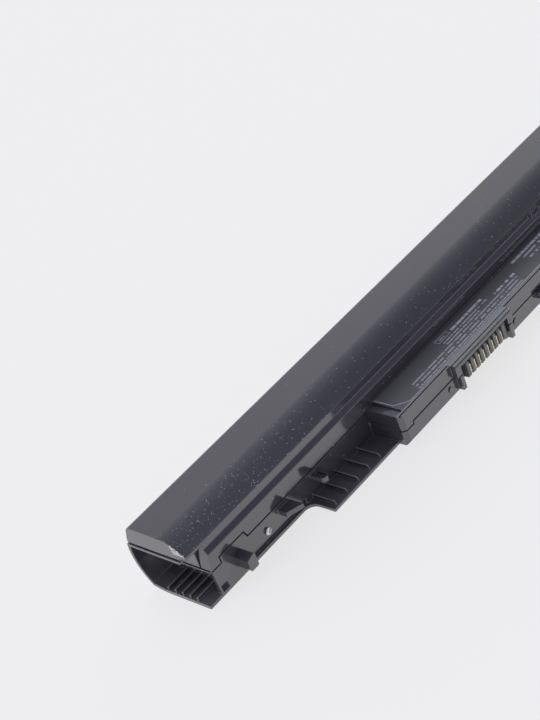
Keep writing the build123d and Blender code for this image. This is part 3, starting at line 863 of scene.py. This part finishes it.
@dataclass
class Board(SubAssembly):
    """The circuit board and the parts on it."""

    chips: tuple[str, ...] = ("gauge_chip", "mosfet_1", "mosfet_2", "thermistor")

    def build(self) -> None:
        """Dresses the board, its chips, the resistor strip and the fuse."""
        self.dress("circuit_board", Slot.BOARD)
        self.dress("sense_resistor", Slot.NICKEL)
        for name in self.chips:
            self.dress(name, Slot.CHIP)
        self.dress("fuse", Slot.FUSE)


@dataclass
class Studio:
    """Floor, soft light and the camera at the photograph's angle."""

    azimuth: float = -36.858
    elevation: float = 32.164
    roll: float = -22.122
    place: tuple[float, float, float] = (-305.06 * MM, -291.69 * MM, 269.2 * MM)
    lens: float = 85.0
    floor_size: float = 40.0
    floor_grey: float = 0.3
    floor_glow: float = 0.71
    low_behind: Colour = (2.7, 2.7, 2.7)
    low_before: Colour = (0.55, 0.55, 0.6)
    high_behind: Colour = (0.5, 0.5, 0.6)
    high_before: Colour = (0.19, 0.19, 0.25)
    band: tuple[float, float] = (0.18, 0.55)
    low_turn: tuple[float, float] = (-0.2, 0.5)
    high_turn: tuple[float, float] = (-0.3, 0.4)

    def camera(self) -> None:
        """Aims the camera by its azimuth, elevation and roll, as the photograph was taken."""
        turn, tilt = math.radians(self.azimuth), math.radians(self.elevation)
        back = Vector((math.sin(turn) * math.cos(tilt), -math.cos(turn) * math.cos(tilt), math.sin(tilt)))
        level = Vector((math.cos(turn), math.sin(turn), 0.0))
        rise = back.cross(level)
        lean = math.radians(self.roll)
        right = level * math.cos(lean) + rise * math.sin(lean)
        up = back.cross(right)
        data = bpy.data.cameras.new("camera")
        data.lens = self.lens
        data.sensor_width = 36.0
        data.clip_start = 0.01
        eye = bpy.data.objects.new("camera", data)
        eye.matrix_world = Matrix.Translation(self.place) @ Matrix((right, up, back)).transposed().to_4x4()
        bpy.context.collection.objects.link(eye)
        bpy.context.scene.camera = eye

    def floor(self) -> None:
        """A wide pale floor under the object, lit from within so that shadows stay faint."""
        half = self.floor_size / 2
        mesh = bpy.data.meshes.new("floor")
        corners = [(-half, -half, 0), (half, -half, 0), (half, half, 0), (-half, half, 0)]
        mesh.from_pydata(corners, [], [(0, 1, 2, 3)])
        made = bpy.data.materials.new("floor")
        made.use_nodes = True
        surface = made.node_tree.nodes["Principled BSDF"].inputs
        surface["Base Color"].default_value = (self.floor_grey, self.floor_grey, self.floor_grey, 1.0)
        surface["Roughness"].default_value = 0.9
        surface["Specular IOR Level"].default_value = 0.0
        surface["Emission Color"].default_value = (1.0, 1.0, 1.0, 1.0)
        surface["Emission Strength"].default_value = self.floor_glow
        mesh.materials.append(made)
        sheet = bpy.data.objects.new("floor", mesh)
        bpy.context.collection.objects.link(sheet)

    def light(self) -> None:
        """A sky that is bright low down behind the object, and dim high up on the camera's side."""
        world = bpy.data.worlds.new("studio")
        world.use_nodes = True
        bpy.context.scene.world = world
        graph = Graph(world.node_tree)
        _, depth, height = graph.axes(graph.node("ShaderNodeTexCoord", out="Generated"))
        low = graph.blend(depth.rises(*self.low_turn), self.low_before, self.low_behind)
        high = graph.blend(depth.rises(*self.high_turn), self.high_before, self.high_behind)
        sky = graph.blend(height.rises(*self.band), low, high)
        background = world.node_tree.nodes["Background"].inputs
        graph.feed(background["Color"], sky)
        background["Strength"].default_value = 1.0

    def build(self) -> None:
        """Sets the studio up."""
        bpy.context.scene.view_settings.view_transform = "Standard"
        self.camera()
        self.floor()
        self.light()
        LOG.info("studio set up")


def main() -> None:
    """Builds the scene."""
    logging.basicConfig(level=logging.INFO)
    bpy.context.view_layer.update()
    materials = {slot: finish.material(slot) for slot, finish in FINISHES.items()}
    for part in (Case(materials), Connector(materials), CellRow(materials), Board(materials), Studio()):
        part.build()


if __name__ == "__main__":
    main()
